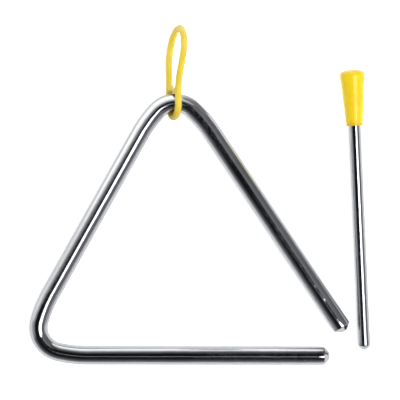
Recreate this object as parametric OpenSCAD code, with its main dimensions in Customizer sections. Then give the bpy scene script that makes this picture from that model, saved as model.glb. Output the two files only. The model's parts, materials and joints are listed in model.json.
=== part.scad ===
// Triangle instrument with its hanger and its beater, lying on a table as one set.
// Lengths are in millimetres. The origin is on the table, under the middle of the set's box.
// +X runs along the bottom side towards its free end, +Y towards the corner that carries the
// hanger, and +Z up from the table.

/* [Bar] */
// Diameter of the round steel bar
bar_d = 8; // [6:0.25:10]
// Bottom side, from the left corner point to the bar's free end
base_len = 132.75; // [110:0.25:150]
// Left side, from corner point to corner point
left_len = 136.1; // [128:0.1:180]
// Right side, from the top corner point to the bar's other end
right_len = 130.5; // [90:0.5:132]
// Inner angle at the left corner
left_angle = 60.8; // [56:0.1:66]
// Inner angle at the top corner
top_angle = 63; // [56:0.1:66]

/* [Bends] */
// Radius of the bar's centreline in the middle of a bend
bend_r = 10.7; // [9.5:0.1:16]
// Radius of the centreline where a bend eases into a straight side
ease_r = 56; // [30:1:90]
// Turn of each easing arc
ease_angle = 12.8; // [4:0.1:20]

/* [Bar ends] */
// Chamfer round each end of the bar
bar_chamfer = 1.8; // [0.5:0.1:2.4]
// Height of the domed face inside the chamfer
bar_bulge = 0.55; // [0.2:0.05:1]

/* [Hanger] */
// Thickness of the hanger's round strand
strand_d = 2.8; // [2:0.1:4]
// Play all round the bar when it is centred in the eye
eye_slack = 1.2; // [1.1:0.05:2]
// Gap between the bar's inner side and the eye, which is pulled up against it
eye_gap = 0.7; // [0.6:0.05:1]
// Width between the strand's centrelines at the waist
waist_w = 12.3; // [10.5:0.1:13]
// Height of the waist above the middle of the eye
waist_rise = 7.7; // [6.5:0.1:9]
// Width between the strand's centrelines at the widest part of the finger loop
loop_w = 18.7; // [16.5:0.1:24]
// Height of the widest part above the middle of the eye
loop_rise = 21.5; // [18:0.5:26]
// Height of the strand's centreline at the top of the loop above the middle of the eye
top_rise = 31.1; // [30:0.1:38]
// Centreline radius of the top of the loop
top_r = 8.4; // [5:0.1:9]
// Height of the crossbar above the middle of the eye
cross_rise = 5.3; // [5:0.1:6]
// Thickness of the crossbar
cross_d = 2.6; // [1.8:0.1:3]
// Turn of the hanger's flat side away from standing on edge
hanger_yaw = 18; // [0:0.5:20]
// Lean of the hanger to the right of straight up
hanger_lean = 4.4; // [0:0.1:5]

/* [Beater] */
// Diameter of the beater's rod
shaft_d = 5.2; // [4:0.1:7]
// Beater from end to end
beater_len = 118.8; // [90:0.1:160]
// Chamfer round the tip
tip_chamfer = 0.5; // [0.1:0.05:0.7]
// Height of the domed tip inside the chamfer
tip_bulge = 1.35; // [0.3:0.05:1.6]
// Lean of the lying beater, its grip to the left
beater_lean = 2.7; // [0:0.1:4]
// Clear space between the beater and the end of the bar that reaches further
beater_gap = 1.9; // [1:0.1:40]
// Tip of the beater above the bottom side's centreline
tip_rise = 2.4; // [-1:0.1:8]

/* [Grip] */
// Length of the moulded grip
grip_len = 23.8; // [16:0.1:40]
// Largest diameter, at the shoulder
grip_d = 10.4; // [9:0.1:14]
// Diameter at the small end
neck_d = 7.1; // [7:0.1:9]
// Radius of the shoulder's rounding
shoulder_r = 1.2; // [0.6:0.1:2]
// Radius of the small end's rounding
rim_r = 0.6; // [0.2:0.05:0.9]
// Radius of the domed top
dome_r = 12; // [8:0.5:15]
// Step all round the rod, from which its thinner end goes into the grip
stub_step = 0.3; // [0.2:0.05:0.4]
// Depth of the blind bore that holds the rod
bore_depth = 16; // [10:0.5:20]
// Space left between the rod's end and the bottom of the bore
bore_spare = 0.5; // [0.2:0.1:1]

/* [Hidden] */
$fn = 96;

// How far a cut runs past the face that it opens
overrun = 0.5;
// Every second arc of a bent rod is this much thinner, as a rod is where it was stretched over
// a former, and its ends run this far into the stretches beside it
arc_thinning = 0.03;
arc_sink = 0.1;

bar_r = bar_d / 2;
strand_r = strand_d / 2;
shaft_r = shaft_d / 2;
stub_d = shaft_d - 2 * stub_step;
bar_end_len = bar_chamfer + bar_bulge;
tip_len = tip_chamfer + tip_bulge;

// The bar turns through these angles at its two bends
left_turn = 180 - left_angle;
top_turn = 180 - top_angle;

// Half the chord, the height and the setback from the corner point of a bend with eased ends
function half_chord(turn) = bend_r * sin(turn / 2 - ease_angle)
    + ease_r * (sin(turn / 2) - sin(turn / 2 - ease_angle));
function bend_height(turn) = bend_r * (1 - cos(turn / 2 - ease_angle))
    + ease_r * (cos(turn / 2 - ease_angle) - cos(turn / 2));
function setback(turn) = half_chord(turn) / cos(turn / 2);
// Distance from the corner point to the middle of the bend
function bend_depth(turn) = half_chord(turn) * tan(turn / 2) - bend_height(turn);

right_run = right_len - setback(top_turn) - bar_end_len;
left_run = left_len - setback(top_turn) - setback(left_turn);
base_run = base_len - setback(left_turn) - bar_end_len;

// Places in the plane of the bar, measured from the left corner point
right_slope = 180 - left_angle - top_angle;
top_corner = left_len * [cos(left_angle), sin(left_angle)];
right_end = top_corner + right_len * [cos(right_slope), -sin(right_slope)];
// The top bend's own middle line leans this much to the left of straight up
top_lean = (left_angle - right_slope) / 2;
hang_point = top_corner + bend_depth(top_turn) * [sin(top_lean), -cos(top_lean)];

// Centreline radii of the hanger's eye and of the arcs from eye to waist to loop to top
eye_r = bar_r + eye_slack + strand_r;
waist_half = waist_w / 2;
loop_half = loop_w / 2;
// Two arcs that leave and end straight up share this sum of radii
function s_radius(step, rise) = (rise * rise + step * step) / (2 * step);
neck_sum = s_radius(eye_r - waist_half, waist_rise);
neck_turn = asin(waist_rise / neck_sum);
flare_rise = loop_rise - waist_rise;
flare_sum = s_radius(loop_half - waist_half, flare_rise);
flare_turn = asin(flare_rise / flare_sum);
// The arc at the waist takes this share of the sum of radii, and the arc up the loop the rest
waist_share = 0.4;
// Arc from the widest part to the top arc, which it meets without a corner
crown_rise = top_rise - loop_rise - top_r;
side_r = (loop_half * loop_half + crown_rise * crown_rise - top_r * top_r)
    / (2 * (loop_half - top_r));
side_turn = asin(crown_rise / (side_r - top_r));

// The hanger lies on the table along the common tangent of its eye and its loop
touch_off = (side_r - loop_half) * cos(hanger_yaw);
touch_drop = (side_r - eye_r) * cos(hanger_yaw);
hanger_tilt = asin(touch_drop / norm([loop_rise, touch_off])) - atan2(touch_off, loop_rise);
// The eye's middle lies this far beyond the bar's centreline
eye_shift = eye_slack - eye_gap;
eye_z = strand_r + eye_r * norm([cos(hanger_yaw) * cos(hanger_tilt), sin(hanger_tilt)]);
hang_z = eye_z - eye_shift * sin(hanger_tilt);

// The bar lies on its bottom side, with its top bend lifted by the hanger's strand under it
bar_tilt = asin((hang_z - bar_r) / hang_point[1]);
hang_y = hang_point[1] * cos(bar_tilt);

// The grip's outline is two rounding circles and the domed top, joined by straight tangents
shoulder_c = [grip_d / 2 - shoulder_r,
    grip_len - dome_r + sqrt(pow(dome_r - shoulder_r, 2) - pow(grip_d / 2 - shoulder_r, 2))];
rim_c = [neck_d / 2 - rim_r, rim_r];
taper_line = shoulder_c - rim_c;
taper = atan2(taper_line[0], taper_line[1]) + asin((shoulder_r - rim_r) / norm(taper_line));
taper_normal = [cos(taper), -sin(taper)];

// The beater lies on its tip's edge and on its grip's shoulder
rest_span = beater_len - grip_len + shoulder_c[1] - tip_len;
rest_step = shoulder_c[0] - shaft_r;
beater_tilt = atan2(rest_step, rest_span) + asin(shoulder_r / norm([rest_step, rest_span]));
tip_x = max(right_end[0], base_len) + bar_r + beater_gap + shaft_r;
tip_z = shaft_r * cos(beater_tilt) - tip_len * sin(beater_tilt);

// The set's box, measured from the left corner point
left_x = (bend_depth(left_turn) + bend_r) * cos(left_angle / 2) - bend_r - bar_r;
axis_x = sin(beater_lean) * cos(beater_tilt);
right_x = tip_x - tip_len * axis_x + shaft_r * sqrt(1 - axis_x * axis_x);
across_y = -sin(hanger_yaw) * sin(hanger_lean)
    - cos(hanger_yaw) * sin(hanger_tilt) * cos(hanger_lean);
along_y = cos(hanger_tilt) * cos(hanger_lean);
back_y = hang_y + (eye_shift + top_rise - top_r) * along_y
    + top_r * norm([across_y, along_y]) + strand_r;
front_y = -bar_r;
box_middle = [(left_x + right_x) / 2, (front_y + back_y) / 2];

// A straight stretch of round rod along +X. What follows starts at its far end.
module straight(run, d) {
    rotate([0, 90, 0]) cylinder(h = run, d = d);
    translate([run, 0, 0]) children();
}

// A stretch of round rod that turns to the left. What follows starts at its far end. A thin
// arc is the one of two neighbours whose ends run into the other.
module left_arc(r, turn, d, thin = false) {
    sink = thin ? arc_sink / r * 180 / PI : 0;
    translate([0, r, 0]) {
        rotate(-90 - sink) rotate_extrude(angle = turn + 2 * sink) translate([r, 0])
            circle(d = thin ? d - arc_thinning : d);
        rotate(turn) translate([0, -r, 0]) children();
    }
}

// The same, turning to the right
module right_arc(r, turn, d, thin = false) {
    mirror([0, 1, 0]) left_arc(r, turn, d, thin) mirror([0, 1, 0]) children();
}

// An end of a rod along +X: a chamfer round a domed face
module rod_end(d, chamfer, bulge) {
    face_r = d / 2 - chamfer;
    ball_r = (face_r * face_r + bulge * bulge) / (2 * bulge);
    rotate([0, 90, 0]) {
        cylinder(h = chamfer, r1 = d / 2, r2 = face_r);
        translate([0, 0, chamfer]) intersection() {
            cylinder(h = bulge, r = face_r);
            translate([0, 0, bulge - ball_r]) sphere(r = ball_r);
        }
    }
}

// A bend of the bar, tight in its middle and eased into the sides at both ends
module bend(turn) {
    eased_d = bar_d - arc_thinning;
    left_arc(ease_r, ease_angle, bar_d, thin = true)
        left_arc(bend_r, turn - 2 * ease_angle, eased_d, thin = true)
            left_arc(ease_r, ease_angle, bar_d, thin = true) children();
}

// The bar in its own plane, followed from the free end of its right side
module bar_flat() {
    translate(right_end) rotate(180 - right_slope) translate([bar_end_len, 0, 0]) {
        rotate(180) rod_end(bar_d, bar_chamfer, bar_bulge);
        straight(right_run, bar_d) bend(top_turn)
            straight(left_run, bar_d) bend(left_turn)
                straight(base_run, bar_d) rod_end(bar_d, bar_chamfer, bar_bulge);
    }
}

// One side of the hanger, from the eye past the waist and up the loop
module strand_side() {
    translate([eye_r, 0, 0]) rotate(90)
        left_arc(neck_sum / 2, neck_turn, strand_d, thin = true)
            right_arc(neck_sum / 2, neck_turn, strand_d)
                right_arc(flare_sum * waist_share, flare_turn, strand_d, thin = true)
                    left_arc(flare_sum * (1 - waist_share), flare_turn, strand_d)
                        left_arc(side_r, side_turn, strand_d, thin = true);
}

// The hanger flat on its own plane, the middle of its eye at the origin
module hanger_flat() {
    translate([-eye_r, 0, 0]) rotate(-90) left_arc(eye_r, 180, strand_d);
    strand_side();
    mirror([1, 0, 0]) strand_side();
    translate([0, top_rise - top_r, 0]) rotate(side_turn) translate([top_r, 0, 0]) rotate(90)
        left_arc(top_r, 180 - 2 * side_turn, strand_d);
    translate([-waist_half, cross_rise, 0]) straight(waist_w, cross_d);
}

// The grip standing on its small end, before it is bored
module grip_body() {
    crown_c = [0, grip_len - dome_r];
    crown_edge = crown_c + (shoulder_c - crown_c) * dome_r / (dome_r - shoulder_r);
    rotate_extrude() {
        polygon([[0, 0], [rim_c[0], 0], rim_c + rim_r * taper_normal,
            shoulder_c + shoulder_r * taper_normal, shoulder_c, crown_edge, [0, crown_edge[1]]]);
        translate(rim_c) circle(r = rim_r);
        translate(shoulder_c) circle(r = shoulder_r);
        intersection() {
            translate(crown_c) circle(r = dome_r);
            translate([0, crown_edge[1]]) square([crown_edge[0], grip_len - crown_edge[1]]);
        }
    }
}

// Puts what stands on the origin where the beater's tip lies, along the lying beater
module lay_beater() {
    translate([tip_x, tip_rise, tip_z]) rotate(beater_lean) rotate([beater_tilt - 90, 0, 0])
        children();
}

// Moves what is measured from the left corner point to the middle of the set's box
module in_set() {
    translate([-box_middle[0], -box_middle[1], 0]) children();
}

module triangle_bar() {
    color("silver") in_set() translate([0, 0, bar_r]) rotate([bar_tilt, 0, 0]) bar_flat();
}

module hanger_loop() {
    color("gold") in_set() translate([hang_point[0], hang_y, hang_z])
        rotate(-hanger_lean) rotate([hanger_tilt, 0, 0]) translate([0, eye_shift, 0])
            rotate([0, hanger_yaw - 90, 0]) hanger_flat();
}

module beater_shaft() {
    color("silver") in_set() lay_beater() translate([0, 0, tip_len]) rotate([0, -90, 0]) {
        rotate(180) rod_end(shaft_d, tip_chamfer, tip_bulge);
        straight(beater_len - grip_len - tip_len, shaft_d)
            straight(bore_depth - bore_spare, stub_d);
    }
}

module beater_grip() {
    color("gold") in_set() lay_beater() translate([0, 0, beater_len - grip_len])
        difference() {
            grip_body();
            translate([0, 0, -overrun]) cylinder(h = bore_depth + overrun, d = stub_d);
        }
}

triangle_bar();
hanger_loop();
beater_shaft();
beater_grip();
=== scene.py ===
# %% [markdown]
# # A triangle, its hanger and its beater, seen from straight above
#
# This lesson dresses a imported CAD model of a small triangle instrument. The CAD model fixes
# every size and every joint, and this script makes what the camera sees: chromed steel, soft
# yellow plastic, a white table and the light of a small studio. Each step first says what the
# real piece is and how it could be made, and then makes it.
#
# The first step loads the CAD model. Its record says where the hinge and the pins are, so
# those places are read from it and not written down a second time.

# %% The frame
import json
import bpy
import numpy as np
from mathutils import Matrix, Vector


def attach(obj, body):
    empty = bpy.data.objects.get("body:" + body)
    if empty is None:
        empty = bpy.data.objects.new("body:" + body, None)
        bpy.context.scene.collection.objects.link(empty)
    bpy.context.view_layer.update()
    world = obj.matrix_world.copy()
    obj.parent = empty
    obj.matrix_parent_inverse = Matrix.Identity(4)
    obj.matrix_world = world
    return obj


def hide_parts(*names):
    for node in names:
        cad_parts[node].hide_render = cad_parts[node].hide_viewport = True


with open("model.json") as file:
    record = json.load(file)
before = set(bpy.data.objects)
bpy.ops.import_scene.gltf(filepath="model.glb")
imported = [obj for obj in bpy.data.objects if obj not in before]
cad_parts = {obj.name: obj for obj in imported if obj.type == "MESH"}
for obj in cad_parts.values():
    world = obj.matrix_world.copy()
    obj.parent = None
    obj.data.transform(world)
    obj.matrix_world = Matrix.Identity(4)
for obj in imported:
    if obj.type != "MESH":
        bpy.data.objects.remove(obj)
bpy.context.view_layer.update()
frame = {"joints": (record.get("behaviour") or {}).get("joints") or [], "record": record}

MM = 0.001
joints = {joint["name"]: joint for joint in frame["joints"]}
mounts = {mount["name"]: mount for mount in frame["record"]["mounts"]}

# %% [markdown]
# ## From a grid of points to a mesh
#
# The pieces could be built from Blender's curves with a bevel, but a curve's bevel has one
# thickness rule and ends in flat caps. Here every piece is a skin over two parameters instead:
# how far along the piece, and how far round it. Both are numpy arrays, so a rounded end, an
# oval bend or a fillet is one more term in a formula. Sizes are in millimetres and angles in
# degrees until a piece is laid on the table, where they become metres.


# %% Meshes
def new_object(name, verts, faces, material):
    """A mesh object from lists of points and faces, linked to the scene."""
    mesh = bpy.data.meshes.new(name)
    mesh.from_pydata(verts, [], faces)
    mesh.materials.append(material)
    thing = bpy.data.objects.new(name, mesh)
    bpy.context.scene.collection.objects.link(thing)
    return thing


def store(thing, name, values):
    """Stores a number, or a vector of three, for each point of a mesh."""
    kind, field = ("FLOAT", "value") if values.ndim == 1 else ("FLOAT_VECTOR", "vector")
    layer = thing.data.attributes.new(name, kind, "POINT")
    layer.data.foreach_set(field, values.ravel())


def by_point(grid):
    """A grid (rows, round) in the order of a rod's points: the inner rows, then the two poles."""
    inner = grid[1:-1].reshape(-1, *grid.shape[2:])
    return np.concatenate([inner, grid[0, :1], grid[-1, :1]])


def grid_quads(index):
    """Quads between the neighbouring rows of a grid of point numbers. Each row joins up."""
    beside = np.roll(index, -1, axis=1)
    return np.stack([index[:-1], beside[:-1], beside[1:], index[1:]], axis=-1).reshape(-1, 4)


def outward(verts, quads, fans):
    """The faces, turned outwards: the sum of (a x b) . c over the triangles is six times the
    volume, so where it is negative the skin is inside out, and every face is turned round."""
    halves = np.vstack([quads[:, :3], quads[:, [0, 2, 3]], fans])
    a, b, c = (verts[halves[:, k]] for k in range(3))
    if np.einsum("ij,ij->", np.cross(a, b), c) < 0:
        quads, fans = quads[:, ::-1], fans[:, ::-1]
    return quads.tolist() + fans.tolist()


print("one quad between two rows of three points:", grid_quads(np.arange(6).reshape(2, 3))[0])

# %% [markdown]
# The real pieces are solid, so each skin has to close. Flat caps would do, but they would show
# as rings in the chrome. So a rod's skin ends in two poles, each a fan of triangles round one
# point, and a ring's skin runs back into itself and has no end at all.


# %% Skins
def rod_skin(points):
    """Points and faces of a skin with two poles. points is (rows, round, 3), and its first and
    last row have each shrunk to one point, which gets a fan of triangles round it."""
    rows, turns = points.shape[:2]
    index = np.arange((rows - 2) * turns).reshape(rows - 2, turns)
    pole = np.full(turns, index.size)
    low = np.stack([np.roll(index[0], -1), index[0], pole], axis=-1)
    high = np.stack([index[-1], np.roll(index[-1], -1), pole + 1], axis=-1)
    verts = by_point(points)
    return verts, outward(verts, grid_quads(index), np.vstack([low, high]))


def ring_skin(points):
    """Points and faces of a ring: its last row joins up with its first, so it has no poles."""
    verts = points.reshape(-1, 3)
    index = np.arange(len(verts)).reshape(points.shape[:2])
    quads = grid_quads(np.vstack([index, index[:1]]))
    return verts, outward(verts, quads, np.empty((0, 3), dtype=int))


def add_piece(name, skin, body, node, material):
    """A finished, smooth piece. It rides on a body and takes the place of a node."""
    verts, faces = skin
    piece = new_object(name, verts.tolist(), faces, material)
    piece.data.polygons.foreach_set("use_smooth", np.ones(len(faces), dtype=bool))
    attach(piece, body)
    if node:
        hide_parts(node)
    print(name, len(verts), "points,", len(faces), "faces")
    return piece


def round_angles(turns):
    """Evenly spaced angles round a row, without the last, which is the first again."""
    return np.linspace(0, 2 * np.pi, turns, endpoint=False)


def tube(centre, side, up, radius):
    """A round skin: centre(row) + radius(row, turn) (cos turn side(row) + sin turn up(row))."""
    turn = round_angles(radius.shape[1])[:, None]
    return centre[:, None] + radius[..., None] * (
        np.cos(turn) * side[:, None] + np.sin(turn) * up[:, None])


print("four angles round a row:", np.degrees(round_angles(4)))

# %% [markdown]
# ## Rods that bend
#
# A bent rod is a profile carried along a flat path. The path is a list of stretches, each with
# a length and a turn: a straight turns by nothing, an arc by its angle. Between two samples the
# step is the chord of the arc, so the path is exact however coarse it is.


# %% Paths
def follow(start, heading, stretches, step):
    """Distances, points and headings along straights and arcs given as (length, degrees).

    The heading grows evenly along each stretch. From sample to sample the path moves along
    the mean heading by ds sin(h) / h, the chord of an arc that turns by 2 h. A sample that
    all but falls on the one before it, within a twentieth of a step, is left out.
    """
    lengths, turns = np.array(stretches, dtype=float).T
    knots = np.concatenate([[0], np.cumsum(lengths)])
    along = np.unique(np.concatenate([knots, np.arange(0, knots[-1], step)]))
    along = along[np.concatenate([[True], np.diff(along) > step / 20])]
    along[-1] = knots[-1]
    heads = np.interp(along, knots, np.radians(heading + np.concatenate([[0], np.cumsum(turns)])))
    mean, half = (heads[1:] + heads[:-1]) / 2, np.diff(heads) / 2
    chord = np.diff(along) * np.sinc(half / np.pi)
    moves = chord[:, None] * np.stack([np.cos(mean), np.sin(mean)], axis=-1)
    points = np.array(start, dtype=float) + np.vstack([[0, 0], np.cumsum(moves, axis=0)])
    return along, points, heads


def arc(radius, turn):
    """One stretch: an arc of that radius, whose length is radius times turn in radians."""
    return radius * abs(np.radians(turn)), turn


def across_path(heads):
    """The level direction square to each heading h: (-sin h, cos h, 0)."""
    return np.stack([-np.sin(heads), np.cos(heads), 0 * heads], axis=-1)


def flat(points):
    """Points of a plane as points in space, at height 0."""
    return np.pad(points, ((0, 0), (0, 1)))


print("a 90 degree arc of radius 10 ends at", follow((0, 0), 0, [arc(10, 90)], 1)[1][-1])

# %% [markdown]
# ## Ends that are turned or ground
#
# No real rod ends in a sharp corner: a lathe or a grinding wheel breaks it. A bevel would round
# every corner alike. Here the end is an outline with corners, a chamfer and a domed face, which
# is then walked in even steps and averaged, as polishing does.


# %% Outlines
def soften(outline, width, step):
    """An outline with its corners rounded: walk it in even steps, and replace each point by
    the mean of the stretch of that width round it. Both ends stay where they are, because the
    outline is first carried on past each of them as its own reflection through the end."""
    outline = np.array(outline, dtype=float)
    along = np.concatenate([[0], np.cumsum(np.linalg.norm(np.diff(outline, axis=0), axis=1))])
    even = np.linspace(0, along[-1], int(along[-1] / step) + 1)
    walked = np.stack([np.interp(even, along, outline[:, k]) for k in (0, 1)], axis=-1)
    reach = max(1, int(width / 2 / step))
    before = 2 * walked[:1] - walked[reach:0:-1]
    after = 2 * walked[-1:] - walked[-2:-reach - 2:-1]
    padded = np.vstack([before, walked, after])
    kernel = np.ones(2 * reach + 1) / (2 * reach + 1)
    return np.stack([np.convolve(padded[:, k], kernel, "valid") for k in (0, 1)], axis=-1)


# Points over a domed face, and the step in which an end's outline is walked
DOME_POINTS, END_STEP = 24, 0.05


def rod_end(radius, chamfer, bulge, width):
    """Outline (distance out, radius) of a rod's end: straight, a chamfer, and a domed face that
    stands out by chamfer + bulge (1 - share^2), where share is the part of the face's radius.
    Its corners are rounded over that width."""
    share = np.linspace(1, 0, DOME_POINTS)
    dome = np.stack([chamfer + bulge * (1 - share ** 2), (radius - chamfer) * share], axis=-1)
    outline = soften(np.vstack([[[-width, radius], [0, radius]], dome]), width, END_STEP)
    outline[-1, 1] = 0
    return outline


print("a rod's end, its last point out:", rod_end(4, 1, 0.5, 0.5)[-1].round(3))

# %% [markdown]
# ## Shader sums
#
# A finish is a sum of patterns, and reads best as a sum. Nodes could be placed and linked one
# by one, but then the sum is lost among the links. `Wire` wraps a node's output, and its
# operators add the Math nodes, so `0.05 + 0.1 * spots` is a shader.


# %% Wires
class Wire:
    """The output of a node, with sums, products and powers that add Math nodes."""

    def __init__(self, board, socket):
        self.board, self.socket = board, socket

    def __add__(self, other):
        return self.board.math("ADD", self, other)

    def __radd__(self, other):
        return self.board.math("ADD", other, self)

    def __sub__(self, other):
        return self.board.math("SUBTRACT", self, other)

    def __rsub__(self, other):
        return self.board.math("SUBTRACT", other, self)

    def __mul__(self, other):
        return self.board.math("MULTIPLY", self, other)

    def __rmul__(self, other):
        return self.board.math("MULTIPLY", other, self)

    def __truediv__(self, other):
        return self.board.math("DIVIDE", self, other)

    def __rtruediv__(self, other):
        return self.board.math("DIVIDE", other, self)

    def __pow__(self, other):
        return self.board.math("POWER", self, other)

    def __abs__(self):
        return self.board.math("ABSOLUTE", self)

    def at_least(self, other):
        """The larger of both."""
        return self.board.math("MAXIMUM", self, other)

    def at_most(self, other):
        """The smaller of both."""
        return self.board.math("MINIMUM", self, other)

    def root(self):
        """The square root."""
        return self.board.math("SQRT", self)

# %% [markdown]
# A board is the place where nodes are laid out. `Board.node` adds any node from its type, its
# settings and what goes into its sockets. The rest of `Board` are short names for the nodes
# that come up again and again, so that a finish says what it is made of and not how.


# %% Boards
class Board:
    """The node tree of a material or a world."""

    def __init__(self, owner):
        owner.use_nodes = True
        self.tree = owner.node_tree
        self.tree.nodes.clear()

    def node(self, kind, settings={}, sockets={}, output=0):
        """One node: its type, its settings, what its sockets hold, and which output counts."""
        made = self.tree.nodes.new(kind)
        for name, value in settings.items():
            setattr(made, name, value)
        for name, value in sockets.items():
            if isinstance(value, Wire):
                self.tree.links.new(value.socket, made.inputs[name])
            else:
                made.inputs[name].default_value = value
        return Wire(self, made.outputs[output]) if len(made.outputs) else None

    def math(self, operation, *values):
        """A Math node of one to three values."""
        return self.node("ShaderNodeMath", {"operation": operation}, dict(enumerate(values)))

    def place(self):
        """Where a point is on the object, in metres: the Object coordinates."""
        return self.node("ShaderNodeTexCoord", output=3)

    def stored(self, name):
        """A number that was stored for each point of the mesh."""
        return self.node("ShaderNodeAttribute", {"attribute_name": name}, output=2)

    def stored_vector(self, name):
        """A vector that was stored for each point of the mesh."""
        return self.node("ShaderNodeAttribute", {"attribute_name": name}, output=1)

    def parts(self, vector):
        """The x, y and z of a vector."""
        split = self.node("ShaderNodeSeparateXYZ", {}, {0: vector})
        return [Wire(self, split.socket.node.outputs[k]) for k in range(3)]

    def noise(self, place, scale, detail=2.0, rough=0.5):
        """Soft cloudy noise between 0 and 1. scale is in clouds per unit of the place."""
        return self.node("ShaderNodeTexNoise", {}, {
            "Vector": place, "Scale": scale, "Detail": detail, "Roughness": rough})

    def fade(self, value, low, high, to_low=0.0, to_high=1.0):
        """A smooth step: to_low up to low, to_high from high on."""
        return self.node("ShaderNodeMapRange", {"interpolation_type": "SMOOTHSTEP"}, {
            "Value": value, "From Min": low, "From Max": high, "To Min": to_low,
            "To Max": to_high})

    def fall(self, value, low, high):
        """A smooth step down: 1 up to low, 0 from high on."""
        return self.fade(value, low, high, 1.0, 0.0)

    def band(self, value, rise, fall):
        """1 between two smooth steps, each given as (where it begins, where it ends)."""
        return self.fade(value, *rise) * self.fall(value, *fall)

    def mix(self, share, first, second):
        """A colour between two colours."""
        return self.node("ShaderNodeMix", {"data_type": "RGBA"}, {
            0: share, 6: first, 7: second}, output=2)

    def scaled(self, colour, level):
        """A colour times a level, which may be more than 1 where it is light."""
        return self.node("ShaderNodeVectorMath", {"operation": "SCALE"}, {
            0: colour, "Scale": level})

    def bump(self, height, distance, strength=1.0):
        """The normal of a skin with that relief: height times distance, in metres."""
        return self.node("ShaderNodeBump", {}, {
            "Height": height, "Distance": distance, "Strength": strength})

    def principled(self, **sockets):
        """The general surface shader. A socket's name is written with _ for each space."""
        return self.node("ShaderNodeBsdfPrincipled", {}, {
            name.replace("_", " "): value for name, value in sockets.items()})

    def blend(self, share, first, second):
        """A surface between two surfaces."""
        return self.node("ShaderNodeMixShader", {}, {0: share, 1: first, 2: second})

    def surface(self, shader):
        """Makes a shader the material's surface."""
        self.node("ShaderNodeOutputMaterial", {}, {"Surface": shader})


def new_material(name):
    """An empty material, with the board of its nodes."""
    material = bpy.data.materials.new(name)
    return material, Board(material)


print("a board has", len([name for name in dir(Board) if name[0] != "_"]), "short names")

# %% [markdown]
# ## Chrome
#
# Chrome plate is thin and copies the steel under it. It is nearly a mirror, a little blue and
# darker than silver. Under a lens it has faint lines along the bar, left by drawing and
# polishing, a fine orange-peel waviness, and dull smears where it was handled. A grey metal of
# one roughness would show none of this, so the finish is a sum of noises at the sizes that the
# real marks have. A noise runs from 0 to 1, and a fade picks the part of it that makes a mark:
# its two numbers are where the mark begins and where it is full.

# %% Marks on the plate
# Clouds per metre: orange peel, slow waves, pits, smears, handled places, patches and flecks
PEEL, WAVES, PITS, SMEARS, HANDLED, PATCHES, FLECKS = 900, 150, 1500, 130, 85, 34, 900
# Clouds of the drawing lines and of the streaks, in units of the grain
LINES, STREAKS = 1.0, 5.0
# Heights in millimetres: drawing lines, orange peel, slow waves and the depth of pits
LINE_HIGH, PEEL_HIGH, WAVE_HIGH, PIT_DEEP = 0.008, 0.0015, 0.100, 0.001
# Share of dull film where hands touched the plate, and in flecks
HANDLED_DULL, FLECKS_DULL = 0.03, 0.10
FILM_TINT, FILM_ROUGH = (0.60, 0.62, 0.66, 1), 0.55


def plate_relief(board, place, lines, pits, seed):
    """The bump of the plate: the sum of its patterns, each times its height."""
    peel, waves = board.noise(place, PEEL + seed), board.noise(place, WAVES + seed)
    height = LINE_HIGH * lines + PEEL_HIGH * peel + WAVE_HIGH * waves - PIT_DEEP * pits
    return board.bump(height, MM)


def dull_share(board, place, streaks, seed):
    """How much film covers the plate: handled places times streaks, plus patches times flecks."""
    handled = board.fade(board.noise(place, HANDLED + seed, 4.0, 0.6), 0.42, 0.70)
    patches = board.fade(board.noise(place, PATCHES + seed), 0.46, 0.62)
    flecks = board.fade(board.noise(place, FLECKS + seed, 3.0, 0.7), 0.46, 0.62)
    return (HANDLED_DULL * handled * board.fade(streaks, 0.46, 0.64)
            + FLECKS_DULL * patches * flecks)


print("waves on the plate are", round(1000 / WAVES, 1), "mm long and", WAVE_HIGH, "mm high")

# %% [markdown]
# The drawing lines run along the piece, round the bends too. Noise on the object's own x, y and
# z would cut across them, so they need a coordinate that follows the piece: each skin stores
# its grain, which is the distance along the piece and the place round it.


# %% Chrome
def chrome(name, tint, seed):
    """A mirror of that tint, a tenth darker in its streaks, with relief and a share of film.

    Its roughness is that of the plate, plus smears, plus drawing lines, plus pits.
    """
    material, board = new_material(name)
    place, grain = board.place(), board.stored_vector("grain")
    lines = board.noise(grain, LINES, 4.0, 0.6)
    streaks = board.noise(grain, STREAKS, 5.0, 0.65)
    smears = board.fade(board.noise(place, SMEARS + seed, 3.0), 0.45, 0.75)
    pits = board.fade(board.noise(place, PITS + seed, 1.0), 0.76, 0.84)
    rough = 0.035 + 0.03 * smears + 0.03 * board.fade(lines, 0.5, 0.8) + 0.15 * pits
    relief = plate_relief(board, place, lines, pits, seed)
    darker = tuple(0.90 * part for part in tint)
    tone = board.mix(board.fade(streaks, 0.35, 0.65), (*tint, 1), (*darker, 1))
    plate = board.principled(Base_Color=tone, Metallic=1.0, Roughness=rough, Normal=relief)
    film = board.principled(Base_Color=FILM_TINT, Metallic=1.0, Roughness=FILM_ROUGH,
                            Normal=relief)
    board.surface(board.blend(dull_share(board, place, streaks, seed), plate, film))
    print(name, "has", len(board.tree.nodes), "nodes")
    return material


# The grain's units per metre along a piece: a drawing line is about 70 mm long
GRAIN_ALONG = 14


def add_grain(piece, along, share, turns):
    """Stores the grain: (distance along in metres times GRAIN_ALONG, share cos, share sin)."""
    angle = round_angles(turns)
    grain = np.zeros((len(along), turns, 3))
    grain[..., 0] = along[:, None] * MM * GRAIN_ALONG
    grain[..., 1] = share * np.cos(angle)
    grain[..., 2] = share * np.sin(angle)
    store(piece, "grain", by_point(grain))


bar_chrome = chrome("bar chrome", (0.525, 0.53, 0.54), 0)
rod_chrome = chrome("rod chrome", (0.53, 0.535, 0.54), 7)
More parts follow.
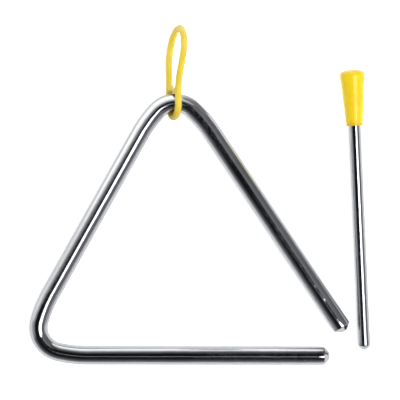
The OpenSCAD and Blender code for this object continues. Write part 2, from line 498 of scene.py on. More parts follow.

# %% [markdown]
# ## Yellow plastic
#
# The hanger and the grip are the same soft yellow plastic. Light goes a little way into it, so
# its shaded side glows orange, and its skin is smooth but has a faint mould texture. A plain
# yellow would look painted, so a part of the light is scattered under the skin. Where a piece
# lies in shade, near the bar or at the grip's foot, that shade is painted into its colour as
# brown, and it is duller there: each skin stores how much painted shade each point gets.

# %% Plastic
# Clouds per metre: cloudy tone, flow marks and the mould's texture
CLOUDS, FLOW, TEXTURE = 160, 700, 3400
TEXTURE_HIGH = 5e-6
# How deep light goes in, for red, green and blue, in shares of a depth in metres
GLOW_SHARES, GLOW_DEEP = (1.0, 0.55, 0.12), 0.0006
# Painted shade: what is left of the deep tone's red, green and blue where shade is painted
SHADE_TINT = (0.60, 0.48, 0.30)


def plastic(name, colour, deep, roughness, seed):
    """Moulded plastic: colour and a deeper tone in clouds, brown and duller where shade is
    painted.
    """
    material, board = new_material(name)
    place, painted_shade = board.place(), board.stored("painted_shade")
    clouds = board.noise(place, CLOUDS + seed, 3.0)
    flow = board.noise(place, FLOW + seed, 4.0, 0.6)
    texture = board.noise(place, TEXTURE + seed)
    fresh = board.mix(board.fade(clouds, 0.35, 0.75), (*colour, 1), (*deep, 1))
    # Painted shade: the brown that stands in for shade near the bar and at the grip's foot
    brown = tuple(left * part for left, part in zip(SHADE_TINT, deep))
    shaded_colour = board.mix(painted_shade * (0.55 + 0.45 * board.fade(flow, 0.35, 0.65)), fresh, (*brown, 1))
    board.surface(board.principled(
        Base_Color=shaded_colour, IOR=1.48,
        Roughness=roughness + 0.10 * board.fade(clouds, 0.4, 0.7) + 0.2 * painted_shade,
        Subsurface_Weight=0.30, Subsurface_Radius=GLOW_SHARES, Subsurface_Scale=GLOW_DEEP,
        Normal=board.bump(texture + 1.5 * flow, TEXTURE_HIGH, 0.8)))
    print(name, "has", len(board.tree.nodes), "nodes")
    return material


hanger_plastic = plastic("hanger plastic", (0.85, 0.655, 0.055), (0.76, 0.55, 0.040), 0.30, 0)
grip_plastic = plastic("grip plastic", (0.93, 0.665, 0.008), (0.90, 0.625, 0.006), 0.19, 11)

# %% [markdown]
# ## The bar
#
# One length of 8 mm steel bar, bent twice. Each bend is tight in its middle and eases into the
# straight sides, as a bar does that is pulled round a small former. One arc for a bend would
# leave a kink in the reflections where it meets the straight, so each bend is three arcs. The
# cross-section is a circle that turns a little oval in the bends. The bar lies on its bottom
# side and is lifted at the top bend by the hanger's strand under it, so its plane is tilted.

# %% The bar's path
BAR_R = mounts["bar_end"]["dims"]["r_mm"]
LEFT_ANGLE, TOP_ANGLE = 60.8, 63.0
RIGHT_SLOPE = 180 - LEFT_ANGLE - TOP_ANGLE
# Sides from corner point to corner point, or to a free end
LEFT_LEN, RIGHT_LEN, BASE_LEN = 136.1, 130.5, 132.75
# Radius of a bend's middle and of its eased parts, and the turn of each eased part
BEND_R, EASE_R, EASE = 10.7, 56.0, 12.8
# Each end has a chamfer and a domed face, and the path stops where they begin
BAR_CHAMFER, BAR_BULGE = 1.8, 0.55
BAR_END = BAR_CHAMFER + BAR_BULGE
BAR_STEP = 0.5


def setback(turn):
    """From a corner point to where its bend begins: half the chord over cos(turn / 2)."""
    half, tight = np.radians(turn / 2), np.radians(turn / 2 - EASE)
    chord = BEND_R * np.sin(tight) + EASE_R * (np.sin(half) - np.sin(tight))
    return chord / np.cos(half)


def bend(turn):
    """Three arcs: eased, tight, eased."""
    return [arc(EASE_R, EASE), arc(BEND_R, turn - 2 * EASE), arc(EASE_R, EASE)]


left_turn, top_turn = 180 - LEFT_ANGLE, 180 - TOP_ANGLE
left, slope = np.radians(LEFT_ANGLE), np.radians(RIGHT_SLOPE)
top_corner = LEFT_LEN * np.array([np.cos(left), np.sin(left)])
away = np.array([np.cos(slope), -np.sin(slope)])
right_end = top_corner + RIGHT_LEN * away
bar_route = [
    (RIGHT_LEN - setback(top_turn) - BAR_END, 0), *bend(top_turn),
    (LEFT_LEN - setback(top_turn) - setback(left_turn), 0), *bend(left_turn),
    (BASE_LEN - setback(left_turn) - BAR_END, 0)]
bar_s, bar_xy, bar_head = follow(right_end - BAR_END * away, 180 - RIGHT_SLOPE, bar_route,
                                 BAR_STEP)
print("bar's centreline", round(bar_s[-1], 2), "mm, base ends at", bar_xy[-1].round(3))

# %% [markdown]
# The path lies in the bar's own plane, with the left corner at its origin. It still needs its
# two ends, its thickness, and its place on the table. The ends could be a second object, but
# then a seam would show in the mirror, so they are more rows of the same skin.

# %% The bar's rows
BAR_TILT = 1.94149
# The left corner point on the table: the pin along the bottom side gives its y
CORNER_X, CORNER_Y = -77.7304, mounts["bar_end"]["pos_m"][1] / MM
# Width over which the corners of an end are rounded
BAR_SOFT = 0.5


def lay_bar(points):
    """From the bar's own plane to the table: tilt, lift by a radius, move to the corner."""
    tilt = np.radians(BAR_TILT)
    x, y, z = np.moveaxis(points, -1, 0)
    return MM * np.stack([x + CORNER_X, y * np.cos(tilt) - z * np.sin(tilt) + CORNER_Y,
                          y * np.sin(tilt) + z * np.cos(tilt) + BAR_R], axis=-1)


def rod_rows(along, points, heads, end_outline):
    """Rows of a rod with both ends: centre, side, radius and distance along of each row.

    Past each end the centre goes on straight by the outline's distance out, and the radius is
    the outline's. In between, the centre is the path and the radius is the full one.
    """
    tangent = np.stack([np.cos(heads), np.sin(heads), 0 * heads], axis=-1)
    side, path, (out, fall) = across_path(heads), flat(points), end_outline.T
    body, count = slice(1, -1), len(end_outline)
    centre = np.vstack([path[0] - out[::-1, None] * tangent[0], path[body],
                        path[-1] + out[:, None] * tangent[-1]])
    sides = np.vstack([np.repeat(side[:1], count, 0), side[body],
                       np.repeat(side[-1:], count, 0)])
    radius = np.concatenate([fall[::-1], np.full(len(along) - 2, fall.max()), fall])
    far = np.concatenate([-out[::-1], along[body], along[-1] + out])
    return centre, sides, radius, far


end_outline = rod_end(BAR_R, BAR_CHAMFER, BAR_BULGE, BAR_SOFT)
# The end's outline begins a little inside the bar, so the path's samples there are left out
inside = BAR_SOFT + 0.1
keep = (bar_s > inside) & (bar_s < bar_s[-1] - inside)
keep[[0, -1]] = True
centre, sides, full_r, far = rod_rows(bar_s[keep], bar_xy[keep], bar_head[keep], end_outline)
print("the bar has", len(far), "rows,", len(end_outline), "of them at each end")

# %% [markdown]
# A bend flattens the real bar by a hair in its own plane, and the bar swells as much upward. A
# perfect circle would be simpler, but the reflections in the bends would be too even. So the
# radius is a formula of the place along and round: oval in the bends, and thinner at the ends.

# %% The bar's skin
BAR_TURNS = 96
# The cross-section's ovalness in the bends, blurred over this many samples of the path
OVAL, OVAL_BLUR = 0.010, 9
# Each end was ground a little thinner over its last millimetres
TAPER_LEN, TAPER_DEEP = 5.5, 0.30
tightness = np.gradient(bar_head[keep], bar_s[keep])
blurred = np.convolve(tightness, np.ones(OVAL_BLUR) / OVAL_BLUR, "same")
oval = OVAL * np.clip(np.interp(far, bar_s[keep], blurred) * BEND_R, 0, 1)
from_tip = np.minimum(far - far[0], far[-1] - far)
taper = TAPER_DEEP * np.clip(1 - from_tip / TAPER_LEN, 0, 1) ** 2
row_r = np.clip(full_r - taper, 0, None)[:, None]
radius = row_r * (1 - oval[:, None] * np.cos(2 * round_angles(BAR_TURNS)))
up = np.zeros_like(sides) + (0, 0, 1)
skin = rod_skin(lay_bar(tube(centre, sides, up, radius)))
bar = add_piece("bent_bar", skin, "triangle", "triangle_bar", bar_chrome)
add_grain(bar, far, 2.0, BAR_TURNS)

# %% [markdown]
# ## The hanger
#
# A closed strand of soft plastic: an eye round the bar, a waist, and an egg-shaped loop for a
# finger, with a short crossbar over the eye. It could be drawn as a curve with control points,
# but arcs that run smoothly into each other say better how the mould was cut. The strand is a
# tube along those arcs, the same on its left and on its right.

# %% The strand's path
STRAND_R = 1.4
# Half widths of the strand's path, and their heights over the eye's middle
EYE_R, WAIST, WAIST_RISE = 6.6, 6.15, 7.7
LOOP, LOOP_RISE, TOP_RISE, TOP_R = 9.35, 21.5, 31.1, 8.4
# From waist to loop the path curves out and then back: the first arc's share of both radii
WAIST_SHARE = 0.4
STRAND_STEP, STRAND_TURNS = 0.25, 48


def s_bend(step, rise):
    """Sum of the radii, and the turn, of two arcs that leave and end straight up:
    (rise^2 + step^2) / (2 step), and the arc whose sine is rise over that sum."""
    both = (rise ** 2 + step ** 2) / (2 * step)
    return both, np.degrees(np.arcsin(rise / both))


neck, neck_turn = s_bend(EYE_R - WAIST, WAIST_RISE)
flare, flare_turn = s_bend(LOOP - WAIST, LOOP_RISE - WAIST_RISE)
crown = TOP_RISE - LOOP_RISE - TOP_R
side_r = (LOOP ** 2 + crown ** 2 - TOP_R ** 2) / (2 * (LOOP - TOP_R))
side_turn = np.degrees(np.arcsin(crown / (side_r - TOP_R)))
one_side = [arc(neck / 2, neck_turn), arc(neck / 2, -neck_turn),
            arc(flare * WAIST_SHARE, -flare_turn), arc(flare * (1 - WAIST_SHARE), flare_turn),
            arc(side_r, side_turn)]
strand_route = [arc(EYE_R, 90), *one_side, arc(TOP_R, 180 - 2 * side_turn),
                *one_side[::-1], arc(EYE_R, 90)]
strand_s, strand_xy, strand_head = follow((0, -EYE_R), 0, strand_route, STRAND_STEP)
print("strand", round(strand_s[-1], 2), "mm round, closes within",
      np.linalg.norm(strand_xy[-1] - strand_xy[0]).round(6))

# %% [markdown]
# The hanger stands nearly on edge across the bar and leans back until its loop lies on the
# table. It is turned about the hinge that the record gives. Soft plastic never hangs quite
# straight: this one bows to the left and twists at its waist, so turning the whole piece isn't
# enough, and the formula also bends it.

# %% The hanger's place
HINGE = np.array(joints["hanger_swing"]["pos_m"]) / MM
# Turn about its long axis, turn seen from above, slope, and the eye's middle from the hinge
HANGER_YAW, HANGER_LEAN, HANGER_TILT, EYE_SHIFT = 18.0, 4.4, 6.99252, 0.5
# How far it bows, at what height and within what reach, and how far all of it sits to the left
BOW, BOW_RISE, BOW_REACH, BOW_REST = 1.0, 13.4, 20.3, 0.13
TWIST, TWIST_RISE, TWIST_REACH = 2.0, 10.0, 5.0


def turned(axis, degrees):
    """The 3 by 3 matrix of a turn round an axis."""
    return np.array(Matrix.Rotation(np.radians(degrees), 3, axis))


def lay_hanger(points):
    """From the hanger's own plane to the table: yaw, shift along, tilt, lean, to the hinge.

    A yaw of 90 would leave it flat, and 0 stands it on edge. It grows by TWIST
    exp(-((y - TWIST_RISE) / TWIST_REACH)^2). On the table every point moves to the left by
    BOW_REST + BOW cos^2 of its distance from BOW_RISE, a soft bow.
    """
    x, y, z = np.moveaxis(points, -1, 0)
    yaw = np.radians(HANGER_YAW - 90
                     + TWIST * np.exp(-((y - TWIST_RISE) / TWIST_REACH) ** 2))
    own = np.stack([x * np.cos(yaw) + z * np.sin(yaw), y + EYE_SHIFT,
                    z * np.cos(yaw) - x * np.sin(yaw)], axis=-1)
    off = np.clip(np.abs(y - BOW_RISE) / BOW_REACH, 0, 1)
    bow = BOW_REST + BOW * np.cos(off * np.pi / 2) ** 2
    turn = turned("Z", -HANGER_LEAN) @ turned("X", HANGER_TILT)
    return MM * (own @ turn.T + HINGE - bow[..., None] * np.array([1.0, 0, 0]))


print("the eye's middle lies at", (lay_hanger(np.zeros((1, 3)))[0] / MM).round(2), "mm")

# %% [markdown]
# Where the eye lies in the bar's shadow, that shade is painted into the plastic as brown, and
# the eye's lower half is painted darker. Noise would put such marks anywhere. A formula of the
# distance from the bar puts them where the shade is, and each point of the skin stores its
# amount.

# %% The strand
# Distance from the bar at which the painted shade ends, and over which it fades
BAR_SHADE_REACH, BAR_SHADE_FADE = 2.7, 1.8
# Height over the eye's middle at which they end, and over which they fade
BAR_SHADE_TOP, BAR_SHADE_TOP_FADE = 6.0, 1.2
# Painted shade on the eye's lower half, from this height down, full after so many millimetres
LOW_SHADE, LOW_SHADE_TOP, LOW_SHADE_FADE = 0.3, -1.5, 3.0


# Painted shade: how much of the bar's shadow is painted into the eye's colour
def shaded_by_bar(points):
    """1 on the skin that faces the bar inside the eye, fading with the square of the distance.

    Seen along the bar, the bar is a circle at the hinge: what counts is the distance from it.
    """
    x, y, _ = np.moveaxis(points, -1, 0)
    gap = np.hypot(x, y + EYE_SHIFT) - BAR_R
    near = np.clip((BAR_SHADE_REACH - gap) / BAR_SHADE_FADE, 0, 1) ** 2
    return near * np.clip((BAR_SHADE_TOP - y) / BAR_SHADE_TOP_FADE, 0, 1)


def add_painted_shade(piece, amount):
    """Stores how much painted shade each point of a skin gets, from 0 to 1."""
    store(piece, "painted_shade", np.clip(amount, 0, 1))


ring_side = across_path(strand_head[:-1])
ring_up = np.zeros_like(ring_side) + (0, 0, 1)
ring_r = np.full((len(ring_side), STRAND_TURNS), STRAND_R)
ring = tube(flat(strand_xy[:-1]), ring_side, ring_up, ring_r)
strand = add_piece("hanger_strand", ring_skin(lay_hanger(ring)), "hanger", "hanger_loop",
                   hanger_plastic)
# Painted shade: the eye's lower half is painted darker, from a height down
eye_low_shade = LOW_SHADE * np.clip((LOW_SHADE_TOP - ring[..., 1]) / LOW_SHADE_FADE, 0, 1)
add_painted_shade(strand, (shaded_by_bar(ring) + eye_low_shade).ravel())

# %% [markdown]
# The crossbar closes the eye. In the mould its ends open like a trumpet, so that it meets the
# strand in a fillet below and in a web above. A straight rod would leave sharp nicks there. It
# is a tube whose top and lower edge are two formulas of the distance from the strand, and its
# two end rows shrink to a point inside the strand, where nothing shows.

# %% The crossbar
# Heights of its top and lower edge over the eye's middle, and half its thickness
CROSS_TOP, CROSS_LOW, CROSS_R = 5.7, 3.72, 1.3
FILLET, WEB, WEB_POWER = 0.9, 2.2, 3
CROSS_ROWS = 121

cross_x = np.linspace(-WAIST, WAIST, CROSS_ROWS)
from_strand = WAIST - STRAND_R - np.abs(cross_x)
# 1 between the strands, and falling to 0 at a strand's middle
free = np.clip(1 + from_strand / STRAND_R, 0, 1)
web = WEB * np.clip(np.abs(cross_x) / (WAIST - STRAND_R), 0, 1) ** WEB_POWER
# A fillet is a quarter circle: FILLET - sqrt(FILLET^2 - (FILLET - distance)^2)
short = np.clip(FILLET - np.abs(from_strand), 0, None)
fillet = FILLET - np.sqrt(FILLET ** 2 - short ** 2)
top, low = CROSS_TOP + free * web, CROSS_LOW - free * fillet
middle, half = (top + low) / 2, (top - low) / 2
deep = np.full_like(cross_x, CROSS_R)
half[[0, -1]] = deep[[0, -1]] = 0
angle = round_angles(STRAND_TURNS)
cross = np.stack([np.repeat(cross_x[:, None], STRAND_TURNS, 1),
                  middle[:, None] + half[:, None] * np.cos(angle),
                  deep[:, None] * np.sin(angle)], axis=-1)
crossbar = add_piece("hanger_crossbar", rod_skin(lay_hanger(cross)), "hanger", None,
                     hanger_plastic)
# Painted shade: the crossbar is painted darker where it lies close to the bar
add_painted_shade(crossbar, by_point(shaded_by_bar(cross)))

# %% [markdown]
# ## The beater
#
# A straight rod of chromed steel, pressed into a moulded grip. Both are turned shapes: an
# outline of (height, radius) points spun round the beater's axis. A cylinder with a bevel
# would do for the rod, but its tip is domed. The record's pin gives the rod's middle, its axis
# and its radius, and the tip follows from them.

# %% The rod
pin = mounts["beater_rod"]
TIP_CHAMFER, TIP_BULGE, TIP_SOFT = 0.5, 1.35, 0.8
SHAFT_R, BEATER_LEN, GRIP_LEN = pin["dims"]["r_mm"], 118.8, 23.8
GRIP_FOOT = BEATER_LEN - GRIP_LEN
# The straight rows begin at this height over the tip and end this far inside the grip
SHAFT_START, SHAFT_IN, SHAFT_ROWS, ROD_TURNS = 3, 4, 60, 72
AXIS = -np.array(pin["axis"])
to_tip = pin["dims"]["length_mm"] / 2 + TIP_CHAMFER + TIP_BULGE
TIP = np.array(pin["pos_m"]) / MM - to_tip * AXIS
beater_side = np.cross(AXIS, (0, 0, 1))
beater_side /= np.linalg.norm(beater_side)
beater_up = np.cross(beater_side, AXIS)


def spun(outline):
    """A turned shape: tip + height * axis + radius (cos turn side + sin turn up)."""
    high, wide = np.array(outline).T
    side, up = (np.repeat(way[None], len(high), 0) for way in (beater_side, beater_up))
    radius = np.repeat(wide[:, None], ROD_TURNS, 1)
    return MM * tube(TIP + high[:, None] * AXIS, side, up, radius)


out, wide = rod_end(SHAFT_R, TIP_CHAMFER, TIP_BULGE, TIP_SOFT)[::-1].T
straight = np.linspace(SHAFT_START, GRIP_FOOT + SHAFT_IN, SHAFT_ROWS)
shaft_outline = np.vstack([np.stack([out[0] - out, wide], axis=-1),
                           np.stack([straight, np.full(SHAFT_ROWS, SHAFT_R)], axis=-1),
                           [[GRIP_FOOT + SHAFT_IN, 0]]])
shaft = add_piece("beater_rod", rod_skin(spun(shaft_outline)), "beater", "beater_shaft",
                  rod_chrome)
add_grain(shaft, shaft_outline[:, 0], 1.4, ROD_TURNS)

# %% [markdown]
# The grip widens to a soft shoulder and closes in a flat dome. Its outline has the points where
# the photograph's outline bends, and softening rounds the corners. At its foot, where the rod
# goes in, shade is painted into the plastic as brown.

# %% The grip
# (height over the grip's foot, radius): the foot's recess, the flare, the shoulder, the dome
grip_rows = [(0.9, 0), (0.9, 2.55), (0, 2.95), (0, 3.40), (2.4, 3.62), (5.0, 3.83), (7.5, 4.04),
             (10.1, 4.27), (12.6, 4.42), (15.2, 4.61), (17.7, 4.87), (19.6, 5.12), (21.3, 5.26),
             (22.3, 5.12), (22.9, 4.55), (23.35, 3.5), (23.65, 1.9), (GRIP_LEN, 0)]
GRIP_SOFT, GRIP_STEP = 0.8, 0.1
# Painted shade at the grip's foot, where the rod goes in: how strong, and over how many
# millimetres it fades
FOOT_SHADE, FOOT_SHADE_FADE = 0.75, 1.4

grip_outline = soften(grip_rows, GRIP_SOFT, GRIP_STEP)
grip_outline[[0, -1], 1] = 0
foot_shade = FOOT_SHADE * np.exp(-(grip_outline[:, 0] / FOOT_SHADE_FADE) ** 2)
grip_outline[:, 0] += GRIP_FOOT
handle = add_piece("beater_handle", rod_skin(spun(grip_outline)), "beater", "beater_grip",
                   grip_plastic)
add_painted_shade(handle, by_point(np.repeat(foot_shade[:, None], ROD_TURNS, 1)))

# %% [markdown]
# ## The table
#
# The set lies on white, and the photograph's white is brighter than any paper in that light.
# Stronger lamps would also make it bright, but they would burn out the plastic, so the sheet
# glows a little by itself. Chrome shows the sheet less bright than the camera does. So there
# are two sheets: one that only mirrors see, and one, a hair lower, for everything else.


# %% Table
# From the middle to an edge in metres, and clouds of the paper per metre
TABLE_REACH, TABLE_CLOUDS = 6, 400
# Light that each sheet gives by itself
CAMERA_LIFT, MIRROR_LIFT = 0.56, 0.16


def table_top(name, height, lift):
    """A large flat sheet. lift is the light that it gives by itself."""
    material, board = new_material(name)
    paper = board.noise(board.place(), TABLE_CLOUDS, 3.0)
    board.surface(board.principled(
        Base_Color=board.mix(paper, (0.93, 0.93, 0.93, 1), (0.91, 0.91, 0.91, 1)),
        Roughness=0.9, Specular_IOR_Level=0.1, Emission_Color=(1, 1, 1, 1),
        Emission_Strength=lift))
    corners = [(x * TABLE_REACH, y * TABLE_REACH, height)
               for x, y in ((-1, -1), (1, -1), (1, 1), (-1, 1))]
    sheet = new_object(name, corners, [(0, 1, 2, 3)], material)
    return sheet


table = table_top("table", -0.02 * MM, CAMERA_LIFT)
table.visible_glossy = False
reflected = table_top("table_in_the_chrome", 0.0, MIRROR_LIFT)
reflected.visible_camera = reflected.visible_diffuse = reflected.visible_shadow = False
print("two sheets,", 2 * TABLE_REACH, "m wide")

# %% [markdown]
# ## The studio round the set
#
# Chrome has no colour of its own: it shows the room. The room could be built from walls and
# lamps, but its far parts need no depth, so they are painted on the world. A direction that
# goes up is named by where it meets a ceiling one metre overhead: `window_x` to the east and
# `window_y` to the north, in metres. A patch of the ceiling is then a band in each of them.

# %% Directions
world = bpy.data.worlds.new("studio")
bpy.context.scene.world = world
board = Board(world)
# The Generated output of a world's coordinates is the direction that is looked in
toward = board.node("ShaderNodeTexCoord", output=0)
east, north, up_way = board.parts(toward)
above = up_way.at_least(0.05)
window_x, window_y = east / above, north / above
sideways = (1.0001 - up_way * up_way).root()
print("directions:", len(board.tree.nodes), "nodes so far")

# %% [markdown]
# The main light is a large softbox up to the right. Its reflection is the white line on the
# bar's left side and on the rod. An area lamp would light the table as well, which the
# photograph doesn't show, so the softbox is a patch of the world. One corner is cut off.

# %% The softbox
# Each pair is where an edge begins and ends to fade. The back edge and the cut edge slope
BOX_LEFT, BOX_RIGHT = (0.085, 0.14), (0.70, 0.90)
BOX_FRONT, BOX_BACK, BOX_BACK_SLOPE = (-0.45, -0.33), (0.005, 0.025), 0.1
BOX_CUT, BOX_CUT_SLOPE = (0.225, 0.275), 1.83
BOX_LOWEST = (0.2, 0.3)
BOX_LIGHT = 4.2

softbox_seen = (board.band(window_x, BOX_LEFT, BOX_RIGHT) * board.fade(window_y, *BOX_FRONT)
                * board.fall(window_y - BOX_BACK_SLOPE * window_x, *BOX_BACK)
                * board.fade(window_x - BOX_CUT_SLOPE * window_y, *BOX_CUT)
                * board.fade(up_way, *BOX_LOWEST))
print("softbox: from", BOX_LEFT[0], "to", BOX_RIGHT[1], "m east, per metre of height")

# %% [markdown]
# The rest of the room is dim. To the right hangs grey cloth with folds, brightest high up, and
# near the table the air is bright all round, except under the cloth. Noise makes the folds.

# %% Cloth and the glow near the table
CLOTH_WAY, CLOTH_EDGE = (0.98, 0.17), (0.15, 0.36)
CLOTH_TOP, CLOTH_TOP_GAIN = (0.68, 0.85), 0.40
GLOW, GLOW_POWER, GLOW_HIDDEN = 0.62, 2.4, 0.95

cloth = (0.06 + 0.12 * board.noise(toward, 7.0)
         + 0.12 * board.fade(board.noise(toward, 60.0, 3.0, 0.6), 0.35, 0.65))
right_side = (board.fade(CLOTH_WAY[0] * east + CLOTH_WAY[1] * north, *CLOTH_EDGE)
              * (1 + CLOTH_TOP_GAIN * board.fade(up_way, *CLOTH_TOP)))
low_glow = GLOW * (1 - up_way.at_least(0.0)) ** GLOW_POWER * (1 - GLOW_HIDDEN * right_side)
print("glow at the table", GLOW, "and at 30 degrees", round(GLOW * 0.5 ** GLOW_POWER, 3))

# %% [markdown]
# Overhead are a lit part of the ceiling to the left and behind, the dark body of the camera,
# and a pale streak beside it, which keeps the bar's crest from going black.

# %% Ceiling
# Edges in window coordinates, each again a pair
CEILING_EDGE, CEILING_FRONT, CEILING_SLOPE = (-0.25, -0.08), (-0.09, 0.03), 0.3
STREAK_X, STREAK_Y = ((-0.085, -0.065), (0.050, 0.065)), ((-0.31, -0.23), (-0.15, -0.11))
STREAK_GAIN, STREAK_GAIN_X = 0.6, (0.00, 0.04)
BODY_HALF, BODY_Y = (0.10, 0.16), ((-0.30, -0.24), (-0.10, -0.05))

left_ceiling = (board.fall(window_x, *CEILING_EDGE)
                * board.fade(window_y + CEILING_SLOPE * window_x, *CEILING_FRONT))
streak = (board.band(window_x, *STREAK_X) * board.band(window_y, *STREAK_Y)
          * (1 + STREAK_GAIN * board.fade(window_x, *STREAK_GAIN_X)))
camera_body = board.fall(abs(window_x), *BODY_HALF) * board.band(window_y, *BODY_Y)
print("the streak is", round(STREAK_X[1][1] - STREAK_X[0][0], 3), "m wide per metre of height")

# %% [markdown]
# Two stretches of wall stand out, one to the left and one to the right. A wall is named by its
# compass way, by how near to that way a level direction has to point, and by its height.


# %% Walls
def wall(way, nearness, height):
    """1 where a direction is low and near the way: the cosine of the angle between them,
    (cos way east + sin way north) / the direction's level length, fades in over nearness."""
    way = np.radians(way)
    cosine = (float(np.cos(way)) * east + float(np.sin(way)) * north) / sideways
    return board.fall(up_way, *height) * board.fade(cosine, *nearness)


left_wall = wall(177.7, (0.86, 0.96), (0.58, 0.78))
right_wall = wall(-15.0, (0.75, 0.93), (0.05, 0.34))

# Light of the darkest corner, of the cloth's own grey, and of each patch of the room
DARK, CLOTH_GREY = 0.008, 0.01
CEILING_LIGHT, BODY_LIGHT, STREAK_LIGHT, LEFT_LIGHT, RIGHT_LIGHT = 0.19, 0.02, 0.28, 0.30, 0.75
ROOM_TINT = (0.96, 0.98, 1.05)

light = (DARK + right_side * (CLOTH_GREY + cloth) + low_glow + BOX_LIGHT * softbox_seen
         + CEILING_LIGHT * left_ceiling + BODY_LIGHT * camera_body + STREAK_LIGHT * streak
         + LEFT_LIGHT * left_wall + RIGHT_LIGHT * right_wall)
board.node("ShaderNodeOutputWorld", {}, {"Surface": board.node("ShaderNodeBackground", {}, {
    "Color": board.scaled(ROOM_TINT, light)})})
print("the room has", len(board.tree.nodes), "nodes")

# %% [markdown]
# ## Lamps
#
# The world alone leaves the plastic flat. Two large area lamps give it a soft shadow side: a
# wide one overhead, like light thrown back by a ceiling, and a smaller key from the right.
# Mirrors don't see them, because what the chrome shows is already painted on the world.


# %% Lamps
def soft_lamp(name, place, side, watts):
    """A square area lamp at a place, turned toward the middle of the table."""
    lamp = bpy.data.lights.new(name, "AREA")
    lamp.shape, lamp.size, lamp.size_y, lamp.energy = "RECTANGLE", side, side, watts
    thing = bpy.data.objects.new(name, lamp)
    bpy.context.scene.collection.objects.link(thing)
    thing.location = place
    thing.rotation_mode = "QUATERNION"
    thing.rotation_quaternion = (-Vector(place)).to_track_quat("-Z", "Y")
    thing.visible_camera = thing.visible_glossy = False
    print(name, watts, "W at", place)


soft_lamp("ceiling bounce", (0, 0, 2.0), 3.0, 30)
soft_lamp("key", (1.25, -0.35, 1.5), 0.7, 12)

# %% [markdown]
# ## Cards beside the set
#
# A white card stands behind the set. It is near, so each place of the bar sees it at another
# height, and a painted world can't do that: this one is a real sheet. Its light is a formula of
# the place on it, in metres across and up, and its edges fade out so that no line shows in the
# chrome. Only mirrors see it. A card's size, place and soft edges are one small set of values.


# %% Standing cards
def card(name, size, material):
    """A standing card: start + far way + u across + v up. Its points store their (u, v)."""
    way = np.radians(size["way"])
    facing = np.array([np.cos(way), np.sin(way), 0])
    across = np.array([np.sin(way), -np.cos(way), 0])
    u, v = np.meshgrid((size["left"], size["right"]), (0, size["high"]))
    grid = (np.array(size["start"]) + size["far"] * facing
            + u[..., None] * across + v[..., None] * np.array([0, 0, 1.0]))
    thing = new_object(name, grid.reshape(-1, 3).tolist(), [(0, 1, 3, 2)], material)
    store(thing, "spot", np.stack([u, v, 0 * u], axis=-1).reshape(-1, 3))
    thing.visible_camera = thing.visible_diffuse = thing.visible_shadow = False
    print(name, round(size["right"] - size["left"], 3), "m wide,", size["high"], "m high")


def card_surface(board, across, high, size, colour):
    """Light of that colour, which gives way to nothing at the card's left, right and top edge:
    each edge is a smooth step over its soft width, and the three are multiplied."""
    edge = (board.fall(high, size["high"] - size["soft_top"], size["high"])
            * board.fade(across, size["left"], size["left"] + size["soft_left"])
            * board.fall(across, size["right"] - size["soft_right"], size["right"]))
    glow = board.node("ShaderNodeEmission", {}, {"Color": colour})
    board.surface(board.blend(edge, board.node("ShaderNodeBsdfTransparent"), glow))

# %% [markdown]
# The white card is brightest at its foot, and its light falls with height, more slowly to the
# left. A seam in it is a little darker, and its upper right part is a little blue. A plain
# white card would give the bar's outer rim one even tone, which the photograph doesn't have.

# %% The card behind the set
back = {"start": (0, 0, 0), "way": 105, "far": 0.107, "left": -0.50, "right": 0.14,
        "high": 0.50, "soft_left": 0.24, "soft_right": 0.05, "soft_top": 0.15}
# Light at the foot; what the far left, the seam and the foot's right take; what the right adds
BACK_LIGHT, BACK_FAR_LEFT, BACK_SEAM, BACK_FOOT, BACK_RIGHT = 2.10, 0.85, 0.20, 0.3, 0.60
# Light that is left high up, everywhere and to the left
BACK_DIM, BACK_DIM_LEFT = 0.03, 0.17
# Height at which the light has fallen by half, and its change per metre to left and right
HALF_HIGH, HALF_LEFT, HALF_RIGHT, HALF_POWER = 0.098, 0.18, 0.20, 3.2
SEAM_X, SEAM_HALF = 0.036, 0.03

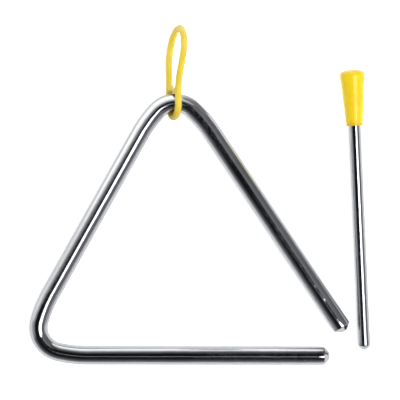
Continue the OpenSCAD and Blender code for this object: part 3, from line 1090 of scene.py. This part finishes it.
card_white, board = new_material("card white")
across, high, _ = board.parts(board.stored_vector("spot"))
half_high = HALF_HIGH - HALF_LEFT * across.at_most(0.0) - HALF_RIGHT * across.at_least(0.0)
far_left = board.fall(across, -0.21, -0.10)
seam = board.fall(abs(across - SEAM_X), 0.0, SEAM_HALF)
at_right = board.fade(across, 0.03, 0.08)
foot_fall = board.fall(high, 0.016, 0.042) * board.fade(across, 0.012, 0.10)
full = ((BACK_LIGHT - BACK_FAR_LEFT * far_left - BACK_SEAM * seam + BACK_RIGHT * at_right)
        * (1 - BACK_FOOT * foot_fall))
level = (full / (1 + (high / half_high) ** HALF_POWER)
         + BACK_DIM + BACK_DIM_LEFT * board.fall(across, -0.12, -0.05))
bluish = board.fade(across, -0.10, 0.0) * board.fade(high, 0.04, 0.11)
white = board.mix(bluish, (1, 1, 1, 1), (0.94, 0.99, 1.04, 1))
card_surface(board, across, high, back, board.scaled(white, level))
card("back_card", back, card_white)

# %% [markdown]
# To the right of the hanger the bar's shoulder is grey in the photograph, because something
# small and close stands between it and the white card. A low grey card does the same here.

# %% The small card at the top bend
shade = {"start": (0, 0.047, 0), "way": 60, "far": 0.010, "left": -0.014, "right": 0.018,
         "high": 0.028, "soft_left": 0.008, "soft_right": 0.005, "soft_top": 0.006}
SHADE_GREY, SHADE_FOOT = 0.30, 0.70

shade_grey, board = new_material("shade grey")
across, high, _ = board.parts(board.stored_vector("spot"))
level = SHADE_GREY + SHADE_FOOT * (board.fall(high, 0.004, 0.018)
                                   * board.fall(across, shade["left"], 0.010))
card_surface(board, across, high, shade, board.scaled((1, 1, 1), level))
card("top_shade", shade, shade_grey)

# %% [markdown]
# ## Camera
#
# The photograph is taken from straight above with a long lens, so the set shows no perspective
# to speak of. An orthographic camera would be close, but the ends of the bar do show a little
# of their faces. One pixel of the photograph is 0.4233 mm of the set, and that fixes how far
# away the lens has to be. The picture's middle lies a few pixels below the set's.

# %% Camera
PIXEL, PICTURE = 0.4233 * MM, 400
LENS, SENSOR = 250.0, 36.0
# The picture's middle from the set's, in pixels, and its turn
SHIFT_X, SHIFT_Y, ROLL = -0.14, -4.6, 0.09

distance = PICTURE * PIXEL * LENS / SENSOR
camera = bpy.data.objects.new("camera", bpy.data.cameras.new("camera"))
bpy.context.scene.collection.objects.link(camera)
camera.data.lens, camera.data.sensor_width = LENS, SENSOR
camera.location = (SHIFT_X * PIXEL, SHIFT_Y * PIXEL, BAR_R * MM + distance)
camera.rotation_euler = (0, 0, np.radians(ROLL))
bpy.context.scene.camera = camera
bpy.context.scene.view_settings.view_transform = "Standard"
print("camera", [round(v, 4) for v in camera.location])

# %% [markdown]
# ## Sizes and finish
#
# The dressed set has to be as large as the CAD model.
